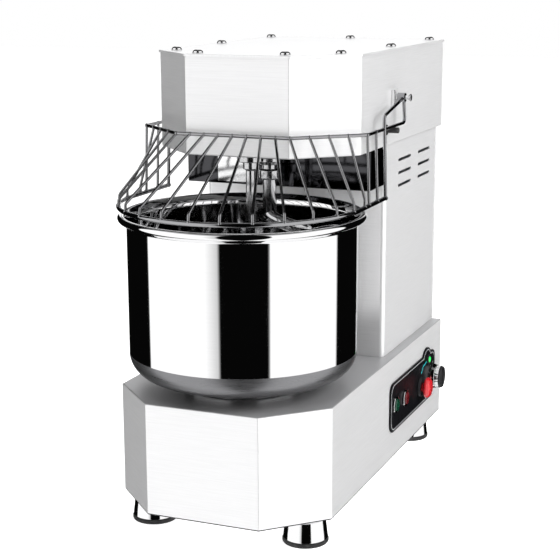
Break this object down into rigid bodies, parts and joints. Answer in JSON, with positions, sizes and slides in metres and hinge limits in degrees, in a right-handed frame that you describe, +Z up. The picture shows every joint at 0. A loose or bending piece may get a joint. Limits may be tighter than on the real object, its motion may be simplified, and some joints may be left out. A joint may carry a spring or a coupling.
{
  "type": "commercial spiral dough mixer",
  "caption": "Floor or bench spiral dough mixer: stainless octagonal base and head, turning bowl, spiral hook, breaker bar, lifting wire guard and side control panel.",
  "frame": {"origin": "on the floor, under the middle of the whole mixer's outline", "axes": "+Z up, -Y to the front where the bowl and guard are, +X to the right of someone who faces the front, where the controls are"},
  "size_m": [0.431, 0.7744, 0.7971],
  "materials": {
    "steel": "fine brushed stainless sheet",
    "polished": "mirror polished stainless",
    "cast": "machined and blued iron",
    "rubber": "black rubber",
    "black_plastic": "satin black plastic",
    "green_plastic": "glossy green plastic",
    "red_plastic": "glossy red plastic",
    "motor_paint": "satin enamel",
    "grey_plastic": "matte grey plastic"
  },
  "bodies": {
    "chassis": {"base_floor_plate": "steel", "base_housing": "steel", "bowl_bearing": "cast", "bowl_chain": "cast", "breaker_bar": "polished", "cable_gland": "black_plastic", "column_housing": "steel", "column_rear_cover": "steel", "contactor_box": "grey_plastic", "control_panel": "black_plastic", "estop_collar": "black_plastic", "foot_cup_front_left": "polished", "foot_cup_front_right": "polished", "foot_cup_rear_left": "polished", "foot_cup_rear_right": "polished", "foot_pad_front_left": "rubber", "foot_pad_front_right": "rubber", "foot_pad_rear_left": "rubber", "foot_pad_rear_right": "rubber", "guard_bracket_left": "steel", "guard_bracket_right": "steel", "guard_pin_left": "polished", "guard_pin_right": "polished", "guard_stop_left": "polished", "guard_stop_right": "polished", "guard_switch": "black_plastic", "head_housing": "steel", "head_lid": "steel", "hook_bearing": "cast", "hook_belt": "rubber", "jackshaft_bearing": "cast", "lid_screw_1": "polished", "lid_screw_2": "polished", "lid_screw_3": "polished", "lid_screw_4": "polished", "lid_screw_5": "polished", "lid_screw_6": "polished", "lid_screw_7": "polished", "lid_screw_8": "polished", "lid_screw_9": "polished", "motor_body": "motor_paint", "motor_mount": "cast", "neck_cover": "polished", "pilot_lamp": "green_plastic", "reduction_belt": "rubber", "start_bezel": "polished", "stop_bezel": "polished"},
    "bowl": {"bowl": "polished", "bowl_turntable": "polished", "bowl_sprocket": "cast"},
    "hook": {"spiral_hook": "polished", "hook_pulley": "cast"},
    "drive": {"drive_shaft": "cast"},
    "jack": {"jackshaft": "cast"},
    "guard": {"guard_cage": "polished"},
    "start": {"start_button": "green_plastic"},
    "stop": {"stop_button": "red_plastic"},
    "estop": {"estop_button": "red_plastic"},
    "timer": {"timer_knob": "black_plastic", "timer_skirt": "polished"}
  },
  "joints": [
    {"name": "guard_hinge", "type": "hinge", "parent": "chassis", "child": "guard", "pos_m": [0, 0.063, 0.706], "axis": [-1, 0, 0], "range_deg": [0, 115]},
    {"name": "bowl_spin", "type": "hinge", "parent": "chassis", "child": "bowl", "pos_m": [0, -0.179, 0.24], "axis": [0, 0, 1], "continuous": true},
    {"name": "hook_spin", "type": "hinge", "parent": "chassis", "child": "hook", "pos_m": [0.004, -0.071, 0.6], "axis": [0, 0, 1], "continuous": true},
    {"name": "drive_spin", "type": "hinge", "parent": "chassis", "child": "drive", "pos_m": [0, 0.209, 0.6], "axis": [0, 0, 1], "continuous": true},
    {"name": "jack_spin", "type": "hinge", "parent": "chassis", "child": "jack", "pos_m": [0, -0.001, 0.15], "axis": [0, 0, 1], "continuous": true},
    {"name": "start_press", "type": "slide", "parent": "chassis", "child": "start", "axis": [-1, 0, 0], "range_m": [0, 0.004], "stiffness_N_per_m": 300, "springref_m": -0.002},
    {"name": "stop_press", "type": "slide", "parent": "chassis", "child": "stop", "axis": [-1, 0, 0], "range_m": [0, 0.004], "stiffness_N_per_m": 300, "springref_m": -0.002},
    {"name": "estop_press", "type": "slide", "parent": "chassis", "child": "estop", "axis": [-1, 0, 0], "range_m": [0, 0.004]},
    {"name": "timer_turn", "type": "hinge", "parent": "chassis", "child": "timer", "pos_m": [0.19, 0.304, 0.138], "axis": [1, 0, 0], "range_deg": [-300, 0]}
  ],
  "couplings": [
    {"joint": "bowl_spin", "follows": "drive_spin", "ratio": 0.08},
    {"joint": "hook_spin", "follows": "drive_spin", "ratio": 1},
    {"joint": "jack_spin", "follows": "drive_spin", "ratio": 0.4}
  ]
}
